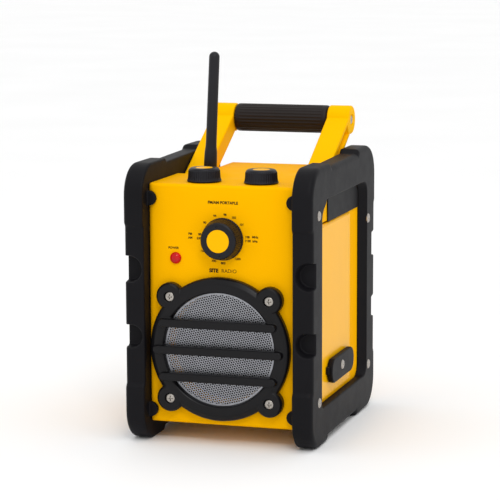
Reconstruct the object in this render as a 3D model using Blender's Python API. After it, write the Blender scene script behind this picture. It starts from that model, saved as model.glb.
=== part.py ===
"""Portable site radio with rubber guards, a fold-back carrying handle and a side battery bay.

Sizes below are in millimetres and are turned into metres when a mesh is made.
The origin is on the floor under the middle of the radio. +X is the user's right
when facing the dial, +Y points to the back and +Z is up.
"""
import math

import bmesh
import bpy
from mathutils import Matrix, Vector

MM = 0.001
GAP = 0.3                  # clearance between touching pieces
CUT = 1.0                  # how far a cutter runs past the wall it opens

# Case
CASE_HALF_X = 65.7
CASE_FRONT = -92.5
CASE_REAR = 93.5
CASE_BOTTOM = 16.6
CASE_TOP = 225.0
WALL = 3.0
COVER_THICK = 3.0
REAR_SPLIT = 75.0          # seam between the housing and the rear cover
REAR_TOP_RADIUS = 18.0
SIDE_FACE = 76.0           # yellow side wall seen inside the guard windows
POCKET_FACE = 71.5         # inner face of that side wall

# Guards
GUARD_IN = 66.0
GUARD_OUT = 84.0
GUARD_HALF_Y = 108.0
GUARD_TOP = 243.5
GUARD_RADIUS = 27.0
STEP = 2.4                 # corner blocks stand this far proud at the ends
STEP_SLOPE = 3.5
FOOT_LIFT = 4.0            # the guard is this far off the floor between its two feet
FOOT_FRONT = -56.5         # inner ends of the feet
FOOT_REAR = 43.5
TOP_FRONT = (-47.0, 241.5)     # (y, z) where the top's front block ends
TOP_DIP = (-43.0, 238.3)       # top of the waist behind it
TOP_RISE = (44.5, 239.7)       # and where it climbs to the rear block
TOP_REAR = (49.0, 243.5)
BLOCK_LOW = 49.0
BLOCK_HIGH = 191.0
LUG_RADIUS = 6.5
LUG_X = 64.5
LUG_REACH = 4.0
LUG_HEIGHTS = {"front": (28.0, 212.3), "rear": (28.0,)}
NOTCH_RANGES = ((83.0, 103.0), (140.0, 163.0))
NOTCH_DEPTH = 10.5
NOTCH_IN = 68.5
WINDOW_FRONT = -75.0
WINDOW_REAR = 73.0
WINDOW_BOTTOM = 31.5
WINDOW_TOP = 211.0
GUARD_SCREWS = ((-83.5, 40.0), (84.5, 40.5), (-85.5, 201.0), (81.5, 177.0))

# Screws
HEAD_RADIUS = 4.25
HEAD_THICK = 1.6
SHANK_RADIUS = 1.7
CROSS_WIDTH = 1.1
CROSS_LENGTH = 4.6
CROSS_DEPTH = 0.9
SCREW_PROUD = 1.0          # guard screws and the latch screw stand this far out

# Speaker
SPEAKER = (-0.8, 84.2)     # (x, z) of its middle
OPENING_RADIUS = 49.3
RING_RADIUS = 62.4
RING_FACE = -102.0
EAR_RADIUS = 11.9
EAR_FACE = -101.6
EAR_OFFSET = 44.4
EAR_Z = 84.2
BAR_FACE = -107.2
BAR_HEIGHT = 7.0
BAR_PITCH = 23.4
BAR_DROP = 1.2             # the middle bar sits this far below the speaker's centre
BAR_LENGTHS = (104.5, 115.0, 104.5)
MESH_FACE = -97.6
MESH_THICK = 0.6
WELL_RADIUS = 46.6         # short tube in the front cover that the speaker is fixed behind
WELL_DEPTH = 15.0

# Controls
TUNING_X = 1.2
TUNING_Z = 179.2
TUNING_RADIUS = 18.3
TUNING_FACE = -107.4
TOP_KNOB_X = {"volume": -22.6, "band": 28.6}
TOP_KNOB_Y = -70.5
TOP_KNOB_RADIUS = 14.9
TOP_KNOB_HEIGHT = 12.3
TUNING_CAP = 9.85
TOP_CAP = 7.5
SHAFT_RADIUS = 3.0
LAMP_X = -41.5
LAMP_Z = 161.2
LAMP_RADIUS = 5.1
LAMP_STEM = 3.3

# Aerial
WHIP_BASE = (-29.8, -32.5)
WHIP_TOP = 334.8
WHIP_LEAN = 2.6            # degrees towards +X
WHIP_STEM = 4.0            # part of the base that goes through the deck

# Handle
PIVOT_Y = -4.5
PIVOT_Z = 210.0
ARM_LENGTH = 112.0
ARM_REST = 29.7            # degrees above the horizontal, leaning back
ARM_IN = 44.6
ARM_OUT = 65.4
ARM_HALF = 8.5
HANDLE_SCREW_DEPTH = 0.2
HEAD_END = 13.0
CHANNEL_IN = 44.2
CHANNEL_FLOOR = 195.4
CHANNEL_FRONT = -19.2
GRIP_RADIUS = 12.8
GRIP_HALF = 44.2
ROD_RADIUS = 4.0

# Battery bay
DOOR_FRONT = -60.0
DOOR_REAR = 40.5
DOOR_LOW = 35.0
DOOR_HIGH = 188.0
DOOR_IN = 72.5
DOOR_OUT = 77.5
HINGE_X = 74.0
HINGE_Z = 185.0
PIN_RADIUS = 1.2
PIN_REACH = 4.5            # the hinge pin runs this far into the wall at each end
LATCH = (-4.0, 57.7)       # (y, z) of its screw
LATCH_BAR = (-38.2, 46.0, 36.0, 67.8)
LATCH_RADIUS = 10.4
LATCH_OUT = 83.0
CAM_RECESS = 16.0
LATCH_TAB = ((77.8, -41.2, 55.0), (80.5, -36.0, 62.0))
PAD_OUTLINE = (-32.6, 188.6, 70.2, 209.8)     # thin pad above the door
PAD_RADII = [1.5, 1.5, 11.0, 1.5]
PAD_FACES = (76.3, 77.2)
TRAY_IN = 35.5
TRAY_OUT = 71.2
TRAY_FRONT = -39.5
TRAY_REAR = 36.5
TRAY_LOW = 42.0
TRAY_HIGH = 184.0

MATERIALS = {
    "yellow": ((0.94, 0.47, 0.0), 0.35, 0.0),
    "rubber": ((0.025, 0.025, 0.028), 0.65, 0.0),
    "black": ((0.02, 0.02, 0.024), 0.4, 0.0),
    "steel": ((0.62, 0.62, 0.6), 0.3, 1.0),
    "mesh": ((0.45, 0.45, 0.46), 0.4, 0.8),
    "red": ((0.7, 0.02, 0.01), 0.15, 0.0),
    "board": ((0.03, 0.18, 0.06), 0.5, 0.0),
    "paper": ((0.05, 0.05, 0.05), 0.8, 0.0),
}


# ---------------------------------------------------------------- shape tools

def clear_scene():
    for item in list(bpy.data.objects):
        bpy.data.objects.remove(item, do_unlink=True)


def material(name):
    found = bpy.data.materials.get(name)
    if found:
        return found
    colour, roughness, metallic = MATERIALS[name]
    made = bpy.data.materials.new(name)
    made.use_nodes = True
    shader = made.node_tree.nodes["Principled BSDF"]
    shader.inputs["Base Color"].default_value = (*colour, 1.0)
    shader.inputs["Roughness"].default_value = roughness
    shader.inputs["Metallic"].default_value = metallic
    return made


def lift(axis, u, v, w):
    """Put outline point (u, v) at distance w along an axis. X: (y, z), Y: (x, z), Z: (x, y)."""
    place = {"X": (w, u, v), "Y": (u, w, v), "Z": (u, v, w)}[axis]
    return Vector(place) * MM


def finish(name, bm, finish_name):
    bmesh.ops.remove_doubles(bm, verts=bm.verts, dist=1e-6)
    bmesh.ops.recalc_face_normals(bm, faces=bm.faces)
    mesh = bpy.data.meshes.new(name)
    bm.to_mesh(mesh)
    bm.free()
    mesh.materials.append(material(finish_name))
    made = bpy.data.objects.new(name, mesh)
    bpy.context.scene.collection.objects.link(made)
    return made


def prism(name, axis, outline, low, high, finish_name="black"):
    """Extrude a closed outline along an axis."""
    bm = bmesh.new()
    corners = [bm.verts.new(lift(axis, u, v, low)) for u, v in outline]
    face = bm.faces.new(corners)
    grown = bmesh.ops.extrude_face_region(bm, geom=[face])
    moved = [item for item in grown["geom"] if isinstance(item, bmesh.types.BMVert)]
    bmesh.ops.translate(bm, vec=lift(axis, 0, 0, high - low), verts=moved)
    return finish(name, bm, finish_name)


def turned(name, axis, centre, profile, segments=24, finish_name="black"):
    """Turn a (radius, distance) profile that starts and ends on the axis, or a closed ring profile."""
    bm = bmesh.new()
    u, v = centre
    points = [bm.verts.new(lift(axis, u + radius, v, along)) for radius, along in profile]
    edges = [bm.edges.new(pair) for pair in zip(points, points[1:])]
    if min(radius for radius, _ in profile) > 0:
        edges.append(bm.edges.new((points[-1], points[0])))
    bmesh.ops.spin(bm, geom=points + edges, cent=lift(axis, u, v, 0), axis=lift(axis, 0, 0, 1).normalized(),
                   angle=2 * math.pi, steps=segments, use_merge=True, use_duplicate=False)
    return finish(name, bm, finish_name)


def rod(name, axis, centre, radius, low, high, segments=20, finish_name="black"):
    return turned(name, axis, centre, [(0, low), (radius, low), (radius, high), (0, high)],
                  segments, finish_name)


def block(name, low, high, finish_name="black"):
    outline = [(low[0], low[1]), (high[0], low[1]), (high[0], high[1]), (low[0], high[1])]
    return prism(name, "Z", outline, low[2], high[2], finish_name)


def arc(u, v, radius, start, end, steps=5):
    """Points on an arc, angles in degrees."""
    angles = [math.radians(start + (end - start) * step / steps) for step in range(steps + 1)]
    return [(u + radius * math.cos(angle), v + radius * math.sin(angle)) for angle in angles]


def rounded(u0, v0, u1, v1, radii, steps=5):
    """Rectangle with its own radius at each corner: low-low, high-low, high-high, low-high."""
    a, b, c, d = radii
    return (arc(u0 + a, v0 + a, a, 180, 270, steps) + arc(u1 - b, v0 + b, b, 270, 360, steps)
            + arc(u1 - c, v1 - c, c, 0, 90, steps) + arc(u0 + d, v1 - d, d, 90, 180, steps))


def combine(target, tool, operation):
    """Cut a tool from the target, or join it on; the tool itself stays out of the model."""
    tool.hide_render = True
    tool.display_type = "WIRE"
    step = target.modifiers.new(f"{operation.lower()}_{tool.name}", "BOOLEAN")
    step.operation = operation
    step.solver = "EXACT"
    step.object = tool
    return target


def cut(target, *tools):
    for tool in tools:
        combine(target, tool, "DIFFERENCE")
    return target


def join(target, *tools):
    for tool in tools:
        combine(target, tool, "UNION")
    return target


def bevel(target, width, segments=2, angle=40.0):
    step = target.modifiers.new("bevel", "BEVEL")
    step.width = width * MM
    step.segments = segments
    step.limit_method = "ANGLE"
    step.angle_limit = math.radians(angle)
    return target


def set_pivot(target, point):
    """Move an object's origin onto its joint without moving its shape."""
    target.data.transform(Matrix.Translation(-Vector(point) * MM))
    target.location = Vector(point) * MM
    return target


def screw(name, axis, centre, face, side, length):
    """Cross-head screw whose head ends at face; side is the way the head looks along the axis."""
    seat = face - side * HEAD_THICK
    profile = [(0, face), (HEAD_RADIUS - 0.9, face), (HEAD_RADIUS, face - side * 0.7), (HEAD_RADIUS, seat),
               (SHANK_RADIUS, seat), (SHANK_RADIUS, seat - side * length), (0, seat - side * length)]
    made = turned(name, axis, centre, profile, 12, "steel")
    u, v = centre
    ends = sorted((face - side * CROSS_DEPTH, face + side * CUT))
    for number, (half_u, half_v) in enumerate(((CROSS_LENGTH, CROSS_WIDTH), (CROSS_WIDTH, CROSS_LENGTH))):
        low, high = (u - half_u / 2, v - half_v / 2), (u + half_u / 2, v + half_v / 2)
        slot = [low, (high[0], low[1]), high, (low[0], high[1])]
        cut(made, prism(f"{name}_slot_{number}", axis, slot, *ends))
    return made


def screw_seat(name, axis, centre, face, side, depth):
    """Cutter for a counterbore with a clearance hole below it."""
    seat = face - side * (HEAD_THICK + GAP)
    profile = [(0, face + side * CUT), (HEAD_RADIUS + GAP, face + side * CUT), (HEAD_RADIUS + GAP, seat),
               (SHANK_RADIUS + GAP, seat), (SHANK_RADIUS + GAP, seat - side * depth),
               (0, seat - side * depth)]
    return turned(name, axis, centre, profile, 12)


# ---------------------------------------------------------------- case

def window_outline(inset=0.0):
    """Guard window in (y, z), with its clipped corner at the top front."""
    front, rear = WINDOW_FRONT + inset, WINDOW_REAR - inset
    bottom, top = WINDOW_BOTTOM + inset, WINDOW_TOP - inset
    clipped = [(front + 17, top), (front + 10.5, top - 4.8), (front + 4, top - 9.2), (front, top - 16)]
    return (arc(front + 4, bottom + 4, 4, 180, 270, 3) + arc(rear - 12, bottom + 12, 12, 270, 360, 4)
            + arc(rear - 12, top - 12, 12, 0, 90, 4) + clipped)


def handle_channel(name, side):
    """Cutter for the slot in the deck that a handle arm folds into."""
    low, high = sorted((side * CHANNEL_IN, side * (CASE_HALF_X + CUT)))
    return block(name, (low, CHANNEL_FRONT, CHANNEL_FLOOR), (high, CASE_REAR + CUT, CASE_TOP + CUT))


def cavity(name, front, rear, top):
    """Inside of the case, narrower at the top between the two handle channels."""
    low, wide, narrow = CASE_BOTTOM + WALL, CASE_HALF_X - WALL, CHANNEL_IN - WALL
    shoulder = CHANNEL_FLOOR - WALL
    outline = [(-wide, low), (wide, low), (wide, shoulder), (narrow, shoulder), (narrow, top),
               (-narrow, top), (-narrow, shoulder), (-wide, shoulder)]
    return prism(name, "Y", outline, front, rear)


def make_front_cover():
    outline = rounded(-CASE_HALF_X, CASE_BOTTOM, CASE_HALF_X, CASE_TOP, [1] * 4, 2)
    cover = prism("front_cover", "Y", outline, CASE_FRONT, CASE_FRONT + COVER_THICK, "yellow")
    bevel(cover, 1.8)
    through = (CASE_FRONT - CUT, CASE_FRONT + COVER_THICK + CUT)
    well_back = CASE_FRONT + WELL_DEPTH
    join(cover, rod("speaker_well", "Y", SPEAKER, WELL_RADIUS + 2.5, CASE_FRONT + 2, well_back, 40))
    cut(cover, rod("speaker_hole", "Y", SPEAKER, WELL_RADIUS, CASE_FRONT - CUT, well_back + CUT, 40))
    cut(cover, rod("tuning_hole", "Y", (TUNING_X, TUNING_Z), SHAFT_RADIUS + 0.5, *through, 16))
    cut(cover, rod("lamp_hole", "Y", (LAMP_X, LAMP_Z), LAMP_STEM + GAP, *through, 16))
    for number, (x, z) in enumerate(ear_centres()):
        cut(cover, rod(f"ear_hole_{number}", "Y", (x, z), SHANK_RADIUS + GAP, *through, 12))
    return cover


def make_main_housing():
    front = CASE_FRONT + COVER_THICK + GAP
    outline = rounded(-CASE_HALF_X, CASE_BOTTOM, CASE_HALF_X, CASE_TOP, [1.5] * 4, 2)
    housing = prism("main_housing", "Y", outline, front, REAR_SPLIT, "yellow")
    for side in (-1, 1):
        word = "right" if side > 0 else "left"
        ends = sorted((side * (CASE_HALF_X - 2), side * SIDE_FACE))
        join(housing, prism(f"side_wall_{word}", "X", window_outline(0.5), *ends))
    cut(housing, cavity("housing_cavity", front - CUT, REAR_SPLIT + CUT, CASE_TOP - WALL))
    for side in (-1, 1):
        word = "right" if side > 0 else "left"
        low, high = sorted((side * (CASE_HALF_X - 2 * WALL), side * POCKET_FACE))
        corner_low = (low, WINDOW_FRONT + 3.5, WINDOW_BOTTOM + 4)
        corner_high = (high, WINDOW_REAR - 5, CHANNEL_FLOOR - WALL)
        cut(housing, block(f"side_pocket_{word}", corner_low, corner_high))
        cut(housing, handle_channel(f"housing_channel_{word}", side))
        pin = sorted((side * 30, side * (CHANNEL_IN + CUT)))
        cut(housing, rod(f"pivot_hole_{word}", "X", (PIVOT_Y, PIVOT_Z), ROD_RADIUS + GAP, *pin, 16))
    top = (CASE_TOP - WALL - CUT, CASE_TOP + CUT)
    for word, x in TOP_KNOB_X.items():
        cut(housing, rod(f"{word}_hole", "Z", (x, TOP_KNOB_Y), SHAFT_RADIUS + 0.5, *top, 16))
    cut(housing, block("door_opening", (POCKET_FACE - CUT, DOOR_FRONT - 0.5, DOOR_LOW - 0.5),
                       (SIDE_FACE + CUT, DOOR_REAR + 0.5, DOOR_HIGH + 1.8)))
    pin = (DOOR_FRONT - PIN_REACH - 0.5, DOOR_REAR + PIN_REACH + 0.5)
    cut(housing, rod("door_pin_hole", "Y", (HINGE_X, HINGE_Z), PIN_RADIUS + GAP, *pin, 12))
    cut(housing, rod("whip_hole", "Z", WHIP_BASE, WHIP_STEM + 0.4, *top, 16))
    return housing


def make_rear_cover():
    front, rear = REAR_SPLIT + GAP, CASE_REAR
    arc_y, arc_z = rear - REAR_TOP_RADIUS, CASE_TOP - REAR_TOP_RADIUS
    outline = ([(front, CASE_BOTTOM)] + arc(rear - 6, CASE_BOTTOM + 6, 6, 270, 360, 3)
               + arc(arc_y, arc_z, REAR_TOP_RADIUS, 0, 90, 7) + [(front, CASE_TOP)])
    cover = prism("rear_cover", "X", outline, -CASE_HALF_X, CASE_HALF_X, "yellow")
    cut(cover, cavity("rear_cavity", front - CUT, rear - WALL, CASE_TOP - REAR_TOP_RADIUS))
    for side in (-1, 1):
        cut(cover, handle_channel(f"rear_channel_{'right' if side > 0 else 'left'}", side))
    cut(cover, block("inlet_hole", (-42.5, rear - 2 * WALL, 37), (-17.5, rear + CUT, 55)))
    cut(cover, rod("jack_hole", "Y", (0, 46), 5.3, rear - 2 * WALL, rear + CUT, 16))
    return cover


# ---------------------------------------------------------------- guards

def guard_outline():
    """Guard edge in (y, z): four proud corner blocks with large radii, a waist between them."""
    half, radius = GUARD_HALF_Y, GUARD_RADIUS
    waist, flat = half - STEP, half - radius
    return ([(FOOT_FRONT, 0), (FOOT_FRONT + STEP_SLOPE, FOOT_LIFT), (FOOT_REAR - STEP_SLOPE, FOOT_LIFT),
             (FOOT_REAR, 0)]
            + arc(flat, radius, radius, 270, 360, 7)
            + [(half, BLOCK_LOW), (waist, BLOCK_LOW + STEP_SLOPE), (waist, BLOCK_HIGH - STEP_SLOPE),
               (half, BLOCK_HIGH)]
            + arc(flat, GUARD_TOP - radius, radius, 0, 90, 7)
            + [TOP_REAR, TOP_RISE, TOP_DIP, TOP_FRONT]
            + arc(-flat, TOP_FRONT[1] - radius, radius, 90, 180, 7)
            + [(-half, BLOCK_HIGH), (-waist, BLOCK_HIGH - STEP_SLOPE), (-waist, BLOCK_LOW + STEP_SLOPE),
               (-half, BLOCK_LOW)]
            + arc(-flat, radius, radius, 180, 270, 7))


def notch(name, side, end, low, high):
    """Cutter for a round-ended grip notch in a guard's front or rear edge, open to the outside."""
    radius = (high - low) / 2
    outside = GUARD_OUT + CUT
    right = arc(NOTCH_IN + radius, low + radius, radius, 90, 270, 8) + [(outside, low), (outside, high)]
    outline = [(side * x, z) for x, z in right]
    edge = end * (GUARD_HALF_Y - STEP)
    return prism(name, "Y", outline, *sorted((edge - end * NOTCH_DEPTH, edge + end * 2 * STEP)))


def make_guard(word, side):
    faces = sorted((side * GUARD_IN, side * GUARD_OUT))
    guard = prism(f"{word}_guard", "X", guard_outline(), *faces, "rubber")
    bevel(guard, 2.2, 2, 60)
    for where, end, face in (("front", -1, CASE_FRONT), ("rear", 1, CASE_REAR)):
        ends = sorted((face + end * GAP, face + end * LUG_REACH))
        for height in LUG_HEIGHTS[where]:
            centre = (side * LUG_X, height)
            join(guard, rod(f"{word}_lug_{where}_{height:.0f}", "Y", centre, LUG_RADIUS, *ends, 16))
        for low, high in NOTCH_RANGES:
            cut(guard, notch(f"{word}_notch_{where}_{low:.0f}", side, end, low, high))
    through = sorted((side * (GUARD_IN - CUT), side * (GUARD_OUT + CUT)))
    cut(guard, prism(f"{word}_window", "X", window_outline(), *through))
    face = side * (GUARD_OUT + SCREW_PROUD)
    for number, centre in enumerate(GUARD_SCREWS, 1):
        cut(guard, screw_seat(f"{word}_seat_{number}", "X", centre, face, side, 11))
        screw(f"guard_screw_{word}_{number}", "X", centre, face, side, 10)
    return guard


# ---------------------------------------------------------------- speaker

def ear_centres():
    return [(x, EAR_Z + z) for x in (-EAR_OFFSET, EAR_OFFSET) for z in (-EAR_OFFSET, EAR_OFFSET)]


def make_grille():
    back = CASE_FRONT - GAP
    profile = [(0, back), (RING_RADIUS, back), (RING_RADIUS, RING_FACE + 2), (RING_RADIUS - 2, RING_FACE),
               (0, RING_FACE)]
    grille = turned("speaker_grille", "Y", SPEAKER, profile, 44, "rubber")
    for number, ear in enumerate(ear_centres()):
        ear_profile = [(0, back - 0.2), (EAR_RADIUS, back - 0.2), (EAR_RADIUS, EAR_FACE + 2),
                       (EAR_RADIUS - 2, EAR_FACE), (0, EAR_FACE)]
        join(grille, turned(f"ear_{number}", "Y", ear, ear_profile, 18))
    cut(grille, rod("grille_opening", "Y", SPEAKER, OPENING_RADIUS, back + CUT, BAR_FACE - CUT, 40))
    middle, half = SPEAKER[1] - BAR_DROP, BAR_HEIGHT / 2
    for number, length in enumerate(BAR_LENGTHS):
        z = middle + (number - 1) * BAR_PITCH
        outline = rounded(SPEAKER[0] - length / 2, z - half, SPEAKER[0] + length / 2, z + half,
                          [half - 0.2] * 4, 4)
        join(grille, prism(f"bar_{number}", "Y", outline, BAR_FACE, RING_FACE + 3))
    for number, ear in enumerate(ear_centres(), 1):
        cut(grille, screw_seat(f"grille_seat_{number}", "Y", ear, EAR_FACE, -1, 8))
        screw(f"grille_screw_{number}", "Y", ear, EAR_FACE, -1, 8)
    return grille


def make_speaker():
    back = CASE_FRONT + WELL_DEPTH + GAP
    mesh_back = MESH_FACE + MESH_THICK
    rod("grille_mesh", "Y", SPEAKER, OPENING_RADIUS - GAP, MESH_FACE, mesh_back, 40, "mesh")
    spacer = [(WELL_RADIUS + 0.5, mesh_back + GAP / 2), (OPENING_RADIUS - GAP, mesh_back + GAP / 2),
              (OPENING_RADIUS - GAP, CASE_FRONT - GAP), (WELL_RADIUS + 0.5, CASE_FRONT - GAP)]
    turned("mesh_spacer", "Y", SPEAKER, spacer, 40, "rubber")
    shell = [(44, back), (54, back), (54, back + 2), (50, back + 2), (33, back + 24), (31.5, back + 22),
             (46, back + 2.5)]
    turned("speaker_frame", "Y", SPEAKER, shell, 28, "paper")
    cone_shape = [(0, back + 17), (14, back + 17), (43, back + 1), (44.2, back + 2.4), (15, back + 19),
                  (0, back + 19)]
    turned("speaker_cone", "Y", SPEAKER, cone_shape, 28, "paper")
    magnet = [(0, back + 24.4), (30, back + 24.4), (30, back + 38), (0, back + 38)]
    turned("speaker_magnet", "Y", SPEAKER, magnet, 28, "steel")


# ---------------------------------------------------------------- controls and aerial

def make_knob(name, axis, centre, face, side, radius, height, cap_radius):
    """Knob with a stub shaft through the panel, and its inset cap."""
    base = face + side * 0.5
    top = base + side * height
    dish = 1.2
    neck = radius * 0.89
    profile = [(0, face - side * 6), (SHAFT_RADIUS, face - side * 6), (SHAFT_RADIUS, base), (radius, base),
               (neck, top - side * 1.5), (neck - 1.5, top), (cap_radius + GAP, top),
               (cap_radius + GAP, top - side * dish), (0, top - side * dish)]
    knob = turned(name, axis, centre, profile, 28, "black")
    cap_face = top - side * GAP
    cap_back = top - side * (dish - GAP)
    cap = rod(f"{name}_cap", axis, centre, cap_radius, *sorted((cap_back, cap_face)), 24, "yellow")
    return knob, cap


def make_controls():
    height = CASE_FRONT - TUNING_FACE - 0.5
    centre = (TUNING_X, TUNING_Z)
    pieces = make_knob("tuning_knob", "Y", centre, CASE_FRONT, -1, TUNING_RADIUS, height, TUNING_CAP)
    for piece in pieces:
        set_pivot(piece, (TUNING_X, CASE_FRONT, TUNING_Z))
    for word, x in TOP_KNOB_X.items():
        centre = (x, TOP_KNOB_Y)
        pieces = make_knob(f"{word}_knob", "Z", centre, CASE_TOP, 1, TOP_KNOB_RADIUS, TOP_KNOB_HEIGHT - 0.5,
                           TOP_CAP)
        for piece in pieces:
            set_pivot(piece, (*centre, CASE_TOP))
    lamp = (LAMP_X, LAMP_Z)
    inside = CASE_FRONT + COVER_THICK + GAP
    ring = [(LAMP_STEM + GAP, inside), (LAMP_STEM + 3, inside), (LAMP_STEM + 3, inside + 3),
            (LAMP_STEM + GAP, inside + 3)]
    turned("power_lamp_holder", "Y", lamp, ring, 16, "black")
    face = CASE_FRONT - GAP
    lens = [(0, inside + 4), (LAMP_STEM, inside + 4), (LAMP_STEM, face), (LAMP_RADIUS, face),
            (LAMP_RADIUS, face - 0.8), (LAMP_RADIUS * 0.75, face - 2.4), (LAMP_RADIUS * 0.4, face - 3.2),
            (0, face - 3.4)]
    turned("power_lamp_lens", "Y", lamp, lens, 20, "red")


def make_aerial():
    base_top = CASE_TOP + 7
    base = [(0, CASE_TOP - 8), (WHIP_STEM, CASE_TOP - 8), (WHIP_STEM, CASE_TOP + GAP), (7.5, CASE_TOP + GAP),
            (7.5, CASE_TOP + 3.5), (6, base_top), (0, base_top)]
    turned("antenna_base", "Z", WHIP_BASE, base, 20, "black")
    radius, flare, start = 4.6, 5.7, base_top + 0.8
    profile = [(0, start), (flare, start), (flare, CASE_TOP + 24), (radius, CASE_TOP + 30)]
    profile += [(r - WHIP_BASE[0], h) for r, h in arc(WHIP_BASE[0], WHIP_TOP - radius, radius, 0, 90, 4)]
    profile[-1] = (0, WHIP_TOP)
    whip = turned("antenna_whip", "Z", WHIP_BASE, profile, 20, "rubber")
    set_pivot(whip, (*WHIP_BASE, base_top))
    whip.rotation_euler.y = math.radians(WHIP_LEAN)


# ---------------------------------------------------------------- handle

def along_arm(distance, across=0.0):
    """(y, z) of a point along the resting arm from the pivot, and square to it."""
    angle = math.radians(ARM_REST)
    return (PIVOT_Y + distance * math.cos(angle) - across * math.sin(angle),
            PIVOT_Z + distance * math.sin(angle) + across * math.cos(angle))


def arm_outline():
    """Arm in (y, z): a round head at each end and a slimmer bar between."""
    blend = math.degrees(math.asin(ARM_HALF / HEAD_END))
    top = along_arm(ARM_LENGTH)
    pivot = (PIVOT_Y, PIVOT_Z)
    upper = arc(*top, HEAD_END, ARM_REST - 180 + blend, ARM_REST + 180 - blend, 14)
    lower = arc(*pivot, HEAD_END, ARM_REST + blend, ARM_REST + 360 - blend, 14)
    return upper + lower


def make_arm(word, side):
    faces = sorted((side * ARM_IN, side * ARM_OUT))
    arm = prism(f"handle_arm_{word}", "X", arm_outline(), *faces, "yellow")
    bevel(arm, 1.2, 1, 50)
    groove = [along_arm(*spot) for spot in ((HEAD_END + 3, -4.5), (ARM_LENGTH - HEAD_END - 1, -4.5),
                                            (ARM_LENGTH - HEAD_END - 1, 4.5), (HEAD_END + 3, 4.5))]
    outer = sorted((side * (ARM_OUT - 5), side * (ARM_OUT + CUT)))
    cut(arm, prism(f"arm_groove_{word}", "X", groove, *outer))
    inner = sorted((side * (ARM_IN - CUT), side * 60))
    cut(arm, rod(f"arm_pivot_hole_{word}", "X", (PIVOT_Y, PIVOT_Z), ROD_RADIUS + GAP, *inner, 16))
    socket = sorted((side * (ARM_IN - CUT), side * 56))
    end = along_arm(ARM_LENGTH)
    cut(arm, rod(f"arm_socket_{word}", "X", end, ROD_RADIUS + GAP, *socket, 16))
    face = side * (ARM_OUT - HANDLE_SCREW_DEPTH)
    cut(arm, screw_seat(f"arm_seat_{word}", "X", end, face, side, 8))
    screw(f"handle_screw_{word}", "X", end, face, side, 6)
    pin = sorted((side * 36, side * 59.5))
    rod(f"handle_pin_{word}", "X", (PIVOT_Y, PIVOT_Z), ROD_RADIUS, *pin, 16, "steel")
    return set_pivot(arm, (0, PIVOT_Y, PIVOT_Z))


def make_handle():
    make_arm("left", -1)
    make_arm("right", 1)
    end = along_arm(ARM_LENGTH)
    inner = ROD_RADIUS + GAP
    grip = [(inner, -GRIP_HALF), (GRIP_RADIUS - 2, -GRIP_HALF), (GRIP_RADIUS, -GRIP_HALF + 2),
            (GRIP_RADIUS, GRIP_HALF - 2), (GRIP_RADIUS - 2, GRIP_HALF), (inner, GRIP_HALF)]
    turned("handle_grip", "X", end, grip, 28, "rubber")
    rod("handle_rod", "X", end, ROD_RADIUS, -55.5, 55.5, 16, "steel")


# ---------------------------------------------------------------- battery bay

def make_door():
    outline = [(DOOR_IN, DOOR_LOW), (DOOR_OUT - 1, DOOR_LOW), (DOOR_OUT, DOOR_LOW + 1),
               (DOOR_OUT, DOOR_HIGH - 2), (DOOR_OUT - 2, DOOR_HIGH), (DOOR_IN + 1, DOOR_HIGH),
               (DOOR_IN, DOOR_HIGH - 1.5)]
    door = prism("battery_door", "Y", outline, DOOR_FRONT, DOOR_REAR, "yellow")
    through = (DOOR_FRONT - CUT, DOOR_REAR + CUT)
    cut(door, rod("door_pin_bore", "Y", (HINGE_X, HINGE_Z), PIN_RADIUS + GAP, *through, 12))
    cut(door, rod("door_latch_bore", "X", LATCH, SHANK_RADIUS + GAP, DOOR_IN - CUT, DOOR_OUT + CUT, 12))
    cut(door, rod("cam_recess", "X", LATCH, CAM_RECESS, DOOR_IN - CUT, DOOR_IN + 2.6, 24))
    set_pivot(door, (HINGE_X, 0, HINGE_Z))
    ends = (DOOR_FRONT - PIN_REACH, DOOR_REAR + PIN_REACH)
    pin = rod("door_hinge_pin", "Y", (HINGE_X, HINGE_Z), PIN_RADIUS, *ends, 12, "steel")
    set_pivot(pin, (HINGE_X, 0, HINGE_Z))


def make_latch():
    """Latch bar fixed to the door, with a screw through it that turns a cam behind the door."""
    latch = prism("door_latch", "X", rounded(*LATCH_BAR, [LATCH_RADIUS] * 4, 4), DOOR_OUT + GAP, LATCH_OUT,
                  "rubber")
    bevel(latch, 0.8, 1, 50)
    join(latch, block("latch_tab", *LATCH_TAB))
    face = LATCH_OUT + SCREW_PROUD
    cut(latch, screw_seat("latch_seat", "X", LATCH, face, 1, 6))
    y, z = LATCH
    cam = prism("latch_cam", "X", rounded(y - 4.5, z - 14, y + 4.5, z + 4.5, [3] * 4, 2), DOOR_IN + 0.2,
                DOOR_IN + 2.2, "steel")
    cut(cam, rod("cam_bore", "X", LATCH, SHANK_RADIUS + GAP, DOOR_IN - CUT, DOOR_IN + 3, 12))
    bolt = screw("latch_screw", "X", LATCH, face, 1, face - HEAD_THICK - DOOR_IN)
    for piece in (latch, cam, bolt):
        set_pivot(piece, (DOOR_OUT, y, z))


def make_bay():
    tray = block("battery_tray", (TRAY_IN, TRAY_FRONT, TRAY_LOW), (TRAY_OUT, TRAY_REAR, TRAY_HIGH), "black")
    cut(tray, block("tray_hollow", (TRAY_IN + 1.5, TRAY_FRONT + 1.5, TRAY_LOW + 1.5),
                    (TRAY_OUT + CUT, TRAY_REAR - 1.5, TRAY_HIGH - 1.5)))
    for name, low in (("battery_contact_lower", TRAY_LOW + 1.8), ("battery_contact_upper", TRAY_HIGH - 3.8)):
        block(name, (TRAY_IN + 4, TRAY_FRONT + 4, low), (TRAY_OUT - 3, TRAY_REAR - 4, low + 2), "steel")
    prism("hinge_cover", "X", rounded(*PAD_OUTLINE, PAD_RADII, 4), *PAD_FACES, "rubber")


# ---------------------------------------------------------------- inside and rear

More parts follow.
